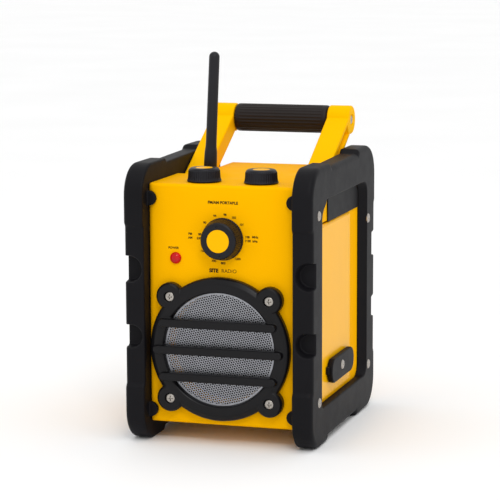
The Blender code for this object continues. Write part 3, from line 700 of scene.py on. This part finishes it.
def make_screw(name, node, axis, side, body, looks):
    """Cross-head screw: flat crown, rolled rim and a tapered cross."""
    low, high = box(node)
    index = "XYZ".index(axis)
    face = high[index] if side > 0 else low[index]
    foot = low[index] if side > 0 else high[index]
    centre = middle(node, axis)
    rim = HEAD_RADIUS
    crown = [(0, face), (2.4, face), (3.4, face - side * 0.25), (rim - 0.2, face - side * 0.75),
             (rim, face - side * 1.1), (rim, face - side * 1.6), (1.7, face - side * 1.6), (1.7, foot),
             (0, foot)]
    screw = turned(name, axis, centre, crown, 40)
    u, v = centre
    for half_u, half_v in ((2.3, 0.5), (0.5, 2.3)):
        top = [(u - half_u, v - half_v), (u + half_u, v - half_v), (u + half_u, v + half_v),
               (u - half_u, v + half_v)]
        tip = [(u + (a - u) * 0.45, v + (b - v) * 0.6) for a, b in top]
        cut(screw, loft("cross_tool", axis, [(face - side * 1.25, tip), (face + side * 0.1, top)]))
    crisp(screw, 28)
    return place(screw, body, looks["screw"], "screw_steel", [node])


def make_screws(looks):
    for word, side in (("left", -1), ("right", 1)):
        for number in range(1, 5):
            node = f"guard_screw_{word}_{number}"
            make_screw(f"guard_bolt_{word}_{number}", node, "X", side, "case", looks)
        make_screw(f"handle_bolt_{word}", f"handle_screw_{word}", "X", side, "handle", looks)
    for number in range(1, 5):
        make_screw(f"grille_bolt_{number}", f"grille_screw_{number}", "Y", -1, "case", looks)
    make_screw("lock_bolt", "latch_screw", "X", 1, "door_lock", looks)


# ---------------------------------------------------------------- controls

def make_knob(name, node, cap_node, axis, side, body, ribs, looks):
    """Ribbed knob with a rolled rim and a slightly domed cap let into its face."""
    low, high = box(node)
    cap_low, cap_high = box(cap_node)
    index = "XYZ".index(axis)
    others = [i for i in range(3) if i != index]
    centre = middle(node, axis)
    panel = CASE_FRONT if axis == "Y" else CASE_TOP
    top = high[index] if side > 0 else low[index]
    inner = low[index] if side > 0 else high[index]
    base = panel + side * 0.5
    radius = (high[others[0]] - low[others[0]]) / 2
    cap_radius = (cap_high[others[0]] - cap_low[others[0]]) / 2
    rise = abs(top - base)
    neck = radius * (0.865 if axis == "Y" else 0.885)
    profile = [(0, inner), (3, inner), (3, base), (radius - 0.6, base), (radius, base + side * 0.5),
               (radius, base + side * 1.2), (radius - 0.5, base + side * 1.7, True),
               (radius - 0.9, base + side * rise * 0.35, True), (neck + 0.5, base + side * rise * 0.8, True),
               (neck + 0.2, top - side * 2.2, True), (neck - 0.1, top - side * 1.5),
               (neck - 0.6, top - side * 0.8), (neck - 1.3, top - side * 0.25), (neck - 2.3, top),
               (cap_radius + 0.35, top),
               (cap_radius + 0.15, top - side * 0.15), (cap_radius + 0.15, top - side * 1.1),
               (0, top - side * 1.1)]
    knob = turned(f"{name}_body", axis, centre, profile, ribs * 8, ribs, 0.35)
    crisp(knob, 50)
    place(knob, body, looks["knob"], "black_plastic", [node])
    crown = [(0, top - side * 1.0), (cap_radius, top - side * 1.0), (cap_radius, top - side * 0.25),
             (cap_radius - 0.25, top - side * 0.05), (cap_radius * 0.6, top), (0, top)]
    cap = turned(f"{name}_top", axis, centre, crown, 64)
    crisp(cap, 40)
    place(cap, body, looks["cap"], "yellow_cap", [cap_node])
    return centre, top


def make_controls(looks):
    centre, face = make_knob("tuning", "tuning_knob", "tuning_knob_cap", "Y", -1, "tuning_dial", 60, looks)
    lean = math.radians(6)
    for number, way in enumerate((1, -1)):
        spot = (centre[0] - way * 12.4 * math.sin(lean), centre[1] + way * 12.4 * math.cos(lean))
        shape = [(0, face + 0.4), (0.7, face + 0.4), (0.7, face + 0.02), (0.5, face), (0, face)]
        dot = turned(f"tuning_mark_{number}", "Y", spot, shape, 20)
        crisp(dot)
        place(dot, "tuning_dial", looks["mark"], "black_plastic")
    make_knob("volume", "volume_knob", "volume_knob_cap", "Z", 1, "volume_dial", 44, looks)
    make_knob("band", "band_knob", "band_knob_cap", "Z", 1, "band_dial", 44, looks)
    low, high = box("power_lamp_lens")
    centre = middle("power_lamp_lens", "Y")
    radius = (high.x - low.x) / 2
    front, inner = low.y, high.y
    face = CASE_FRONT - STANDOFF
    rise = face - front
    dome = [(0, inner), (3.3, inner), (3.3, face), (radius, face)]
    for turn in range(10, 90, 10):
        angle = math.radians(turn)
        dome.append((radius * math.cos(angle), face - rise * math.sin(angle)))
    dome.append((0, front))
    lens = turned("power_lamp", "Y", centre, dome, 48)
    crisp(lens, 40)
    place(lens, "case", looks["lens"], "red_lens", ["power_lamp_lens"])


def make_aerial(looks):
    low, high = box("antenna_base")
    centre = middle("antenna_base", "Z")
    deck = CASE_TOP + STANDOFF
    base = [(0, low.z), (4, low.z), (4, deck), (7.3, deck), (7.5, deck + 0.4), (7.5, deck + 2.8),
            (7.2, deck + 3.4), (6.2, high.z - 0.5), (5.8, high.z), (0, high.z)]
    collar = turned("aerial_collar", "Z", centre, base, 48)
    crisp(collar, 40)
    place(collar, "case", looks["knob"], "black_plastic", ["antenna_base"])
    whip_low, whip_high = box("antenna_whip")
    length = whip_high.z - whip_low.z
    tip = 4.6
    profile = [(0, 0.4), (5.2, 0.4), (5.7, 1.0), (5.65, 8), (5.5, 14), (5.15, 17.5), (4.85, 19.5),
               (4.75, 24), (4.65, 50)]
    profile += [(r, h) for r, h in arc(0, length - tip, tip, 0, 80, 8)] + [(0, length)]
    whip = turned("aerial_whip", "Z", (0, 0), profile, 48)
    crisp(whip, 50)
    for step in list(whip.modifiers):
        whip.modifiers.remove(step)
    turn = Matrix.Rotation(math.radians(2.6), 4, "Y")
    whip.data.transform(Matrix.Translation(Vector((centre[0], centre[1], high.z)) * MM) @ turn)
    place(whip, "case", looks["whip"], "whip_rubber", ["antenna_whip"])


# ---------------------------------------------------------------- handle

def along_arm(distance, across=0.0):
    """(y, z) of a point along the resting arm from the pivot, and square to it."""
    run = Vector((GRIP_CENTRE[0] - PIVOT[0], GRIP_CENTRE[1] - PIVOT[1])).normalized()
    return (PIVOT[0] + distance * run.x - across * run.y, PIVOT[1] + distance * run.y + across * run.x)


def make_arm():
    """Right arm: round heads, slimmer bar, deep groove in its outer face and a bolt seat."""
    head, half = 13.0, 8.5
    length = math.dist(PIVOT, GRIP_CENTRE)
    lean = math.degrees(math.atan2(GRIP_CENTRE[1] - PIVOT[1], GRIP_CENTRE[0] - PIVOT[0]))
    blend = math.degrees(math.asin(half / head))
    outline = (arc(*GRIP_CENTRE, head, lean - 180 + blend, lean + 180 - blend, 28)
               + arc(*PIVOT, head, lean + blend, lean + 360 - blend, 28))
    arm = prism("arm_right", "X", outline, ARM_LOW.x, ARM_HIGH.x)
    bevel(arm, 1.6, 3, 60)
    start, stop = head + 4, length - head - 2
    groove = [along_arm(start, -5), along_arm(stop, -5), along_arm(stop, 5), along_arm(start, 5)]
    slimmer = [along_arm(start + 2, -3.6), along_arm(stop - 2, -3.6), along_arm(stop - 2, 3.6),
               along_arm(start + 2, 3.6)]
    cut(arm, loft("groove_tool", "X", [(ARM_HIGH.x - 5, slimmer), (ARM_HIGH.x + CUT, groove)]))
    cut(arm, rod("pivot_tool", "X", PIVOT, PIN_BORE, ARM_LOW.x - CUT, 60, 32))
    cut(arm, rod("socket_tool", "X", GRIP_CENTRE, PIN_BORE, ARM_LOW.x - CUT, 56, 32))
    face = box("handle_screw_right")[1].x
    cut(arm, screw_tool("X", GRIP_CENTRE, face, 1, 8))
    dish = [(0, face - 0.5), (5.0, face - 0.5), (5.8, ARM_HIGH.x + CUT), (0, ARM_HIGH.x + CUT)]
    cut(arm, turned("dish_tool", "X", GRIP_CENTRE, dish, 40))
    settle(arm)
    bevel(arm, 0.4, 2, 40)
    crisp(arm)
    return arm


def make_handle(looks):
    arm = make_arm()
    left = mirrored(arm, "arm_left")
    weighted = left.modifiers.new("weighted", "WEIGHTED_NORMAL")
    weighted.keep_sharp = True
    place(arm, "handle", looks["handle"], "yellow_handle", ["handle_arm_right"])
    place(left, "handle", looks["handle"], "yellow_handle", ["handle_arm_left"])
    half, radius = GRIP_HIGH.x, (GRIP_HIGH.z - GRIP_LOW.z) / 2
    side = [(PIN_BORE, -half), (radius - 2.4, -half), (radius - 0.9, -half + 0.5),
            (radius - 0.2, -half + 1.6), (radius, -half + 3), (radius, -half + 4.5),
            (radius, -half + 6, True)]
    profile = side + [(row[0], -row[1], *row[2:]) for row in reversed(side)]
    grip = turned("grip_sleeve", "X", GRIP_CENTRE, profile, 26 * 8, 26, 0.5)
    crisp(grip, 60)
    place(grip, "handle", looks["grip"], "grip_rubber", ["handle_grip"])


# ---------------------------------------------------------------- battery door

def make_door(looks):
    low, high = DOOR_LOW, DOOR_HIGH
    outline = [(low.x, low.z), (high.x - 0.6, low.z), (high.x, low.z + 0.6), (high.x, high.z - 2),
               (high.x - 2, high.z), (low.x + 1, high.z), (low.x, high.z - 1.5)]
    door = prism("door_panel", "Y", outline, low.y, high.y)
    cut(door, rod("pin_tool", "Y", middle("door_hinge_pin", "Y"), 1.5, low.y - CUT, high.y + CUT, 16))
    bolt = middle("latch_screw", "X")
    cut(door, rod("bolt_tool", "X", bolt, 2.0, low.x - CUT, high.x + CUT, 24))
    cut(door, rod("cam_tool", "X", bolt, 16, low.x - CUT, low.x + 2.6, 48))
    settle(door)
    bevel(door, 0.5, 3, 40)
    crisp(door)
    place(door, "door", looks["door"], "yellow_door", ["battery_door"])

    front = LATCH_LOW.y + 3.0
    outline = rounded(front, LATCH_LOW.z, LATCH_HIGH.y, LATCH_HIGH.z, 10.4, 10)
    latch = prism("latch_plate", "X", outline, LATCH_LOW.x, LATCH_HIGH.x)
    bevel(latch, 1.3, 4, 60)
    outline = rounded(LATCH_LOW.y, 55.0, front + 3, 62.0, 1.4, 4)
    tab = prism("tab_tool", "X", outline, LATCH_LOW.x, LATCH_LOW.x + 2.6)
    join(latch, bevel(tab, 0.5, 2, 60))
    cut(latch, screw_tool("X", bolt, box("latch_screw")[1].x, 1, 6))
    crisp(latch)
    place(latch, "door", looks["guard"], "guard_rubber", ["door_latch"])

    corner = 11.0
    outline = ([(PAD_LOW.y + 1, PAD_HIGH.z), (PAD_LOW.y, PAD_HIGH.z - 1), (PAD_LOW.y, PAD_LOW.z + 1),
                (PAD_LOW.y + 1, PAD_LOW.z), (PAD_HIGH.y, PAD_LOW.z)]
               + arc(PAD_HIGH.y - corner, PAD_HIGH.z - corner, corner, 0, 90, 10))
    pad = prism("hinge_pad", "X", outline, PAD_LOW.x, PAD_HIGH.x)
    bevel(pad, 0.4, 3, 60)
    crisp(pad)
    place(pad, "case", looks["guard"], "guard_rubber", ["hinge_cover"])


# ---------------------------------------------------------------- print

def lettering(name, words, looks):
    """Printed words and numbers on the front panel: (text, x, z, cap height, boldness)."""
    bm = bmesh.new()
    for text, x, z, height, bold in words:
        curve = bpy.data.curves.new("word", "FONT")
        curve.body = text
        curve.size = height / 0.7 * MM
        curve.align_x = "CENTER"
        curve.align_y = "CENTER"
        curve.extrude = 0.03 * MM
        curve.offset = bold * height * MM
        word = add_object("word", curve)
        graph = bpy.context.evaluated_depsgraph_get()
        mesh = bpy.data.meshes.new_from_object(word.evaluated_get(graph))
        upright = Matrix.Rotation(math.pi / 2, 4, "X")
        mesh.transform(Matrix.Translation(lift("Y", x, z, CASE_FRONT - STANDOFF)) @ upright)
        bm.from_mesh(mesh)
        bpy.data.objects.remove(word, do_unlink=True)
        bpy.data.meshes.remove(mesh)
    made = new_piece(name, bm)
    return place(made, "case", looks["print"], "black_plastic")


def make_print(looks):
    x, z = middle("tuning_knob", "Y")
    small = 1.9
    words = [("FM/AM PORTABLE", x, z + 31.0, 2.35, 0.055), ("SITE", x - 8.4, z - 27.6, 3.1, 0.075),
             ("RADIO", x + 5.2, z - 27.6, 3.1, 0.0), ("POWER", -43.4, 169.8, 1.9, 0.04)]
    labels = [("FM", -29.4, 3.3), ("AM", -29.4, 0.0), ("MHz", 28.6, 2.6), ("kHz", 28.4, -0.9),
              ("108", 21.6, 2.4), ("1600", 22.0, -0.9), ("88", -20.8, 3.2), ("530", -21.6, -0.3)]
    for text, turn in (("90", -50), ("94", -20), ("98", 5), ("102", 27), ("106", 52), ("600", -122),
                       ("700", -157), ("800", -180), ("1200", 143)):
        angle = math.radians(turn)
        labels.append((text, 21.3 * math.sin(angle), 20.9 * math.cos(angle)))
    words += [(text, x + across, z + above, small, 0.05) for text, across, above in labels]
    lettering("dial_print", words, looks)


# ---------------------------------------------------------------- the pieces that stay CAD

def paint_frame(looks):
    """Materials for the CAD nodes that are shown as they are."""
    finishes = {
        "steel": ("handle_pin_left", "handle_pin_right", "handle_rod", "door_hinge_pin", "latch_cam",
                  "battery_contact_lower", "battery_contact_upper", "speaker_magnet", "mains_transformer",
                  "volume_control", "band_switch"),
        "socket": ("power_lamp_holder", "battery_tray", "mains_inlet", "line_in_jack", "tuning_capacitor",
                   "ferrite_rod", "mesh_spacer"),
        "board": ("circuit_board",),
        "paper": ("speaker_frame", "speaker_cone"),
    }
    for look, names in finishes.items():
        for name in names:
            mesh = NODES[name].data
            mesh.materials.clear()
            mesh.materials.append(looks[look])
            mesh.shade_smooth()
            mesh.set_sharp_from_angle(angle=math.radians(35))


# ---------------------------------------------------------------- studio

def add_light(name, location, target, size, power):
    light = bpy.data.lights.new(name, "AREA")
    light.shape = "DISK"
    light.size = size
    light.energy = power
    made = add_object(name, light)
    made.location = location
    made.rotation_euler = (Vector(target) - Vector(location)).to_track_quat("-Z", "Y").to_euler()


def make_studio():
    scene = bpy.context.scene
    scene.view_settings.view_transform = "Standard"
    world = bpy.data.worlds.new("studio")
    world.use_nodes = True
    sky = world.node_tree.nodes["Background"]
    sky.inputs["Color"].default_value = (1.0, 1.0, 1.0, 1.0)
    sky.inputs["Strength"].default_value = 0.95
    scene.world = world

    bm = bmesh.new()
    bmesh.ops.create_grid(bm, x_segments=1, y_segments=1, size=30.0)
    floor = new_piece("floor", bm)
    pale = Recipe("pale_floor", (0.9, 0.9, 0.9), 0.7, specular=0.1)
    pale.tint(pale.noise(3.0), (0.89, 0.89, 0.89), (0.91, 0.91, 0.91))
    floor.data.materials.append(pale.material)

    add_light("key", (0.7, -1.6, 1.7), (0, 0, 0.12), 0.6, 9)
    sun = bpy.data.lights.new("overhead", "SUN")
    sun.energy = 0.5
    sun.angle = math.radians(50)
    overhead = add_object("overhead", sun)
    overhead.rotation_euler = (math.radians(15), math.radians(10), 0)


def make_camera():
    """The view a little to the right of the front and a little from above."""
    azimuth, elevation, roll = (math.radians(angle) for angle in (17.37, 8.82, -0.21))
    target = Vector((3.26, -22.5, 159.45)) * MM
    distance = 1.92028
    back = Vector((math.sin(azimuth) * math.cos(elevation), -math.cos(azimuth) * math.cos(elevation),
                   math.sin(elevation)))
    right = Vector((math.cos(azimuth), math.sin(azimuth), 0))
    up = back.cross(right)
    tilted_right = right * math.cos(roll) + up * math.sin(roll)
    tilted_up = up * math.cos(roll) - right * math.sin(roll)
    lens = bpy.data.cameras.new("camera")
    lens.sensor_width = 36.0
    lens.lens = 156.94
    lens.clip_end = 60.0
    camera = add_object("camera", lens)
    turn = Matrix((tilted_right, tilted_up, back)).transposed().to_4x4()
    camera.matrix_world = Matrix.Translation(target + back * distance) @ turn
    bpy.context.scene.camera = camera


def main():
    looks = make_materials()
    make_camera()
    make_studio()
    paint_frame(looks)
    make_front_cover(looks)
    make_housing(looks)
    make_rear_cover(looks)
    make_guards(looks)
    make_grille(looks)
    make_mesh(looks)
    make_screws(looks)
    make_controls(looks)
    make_aerial(looks)
    make_handle(looks)
    make_door(looks)
    make_print(looks)


main()
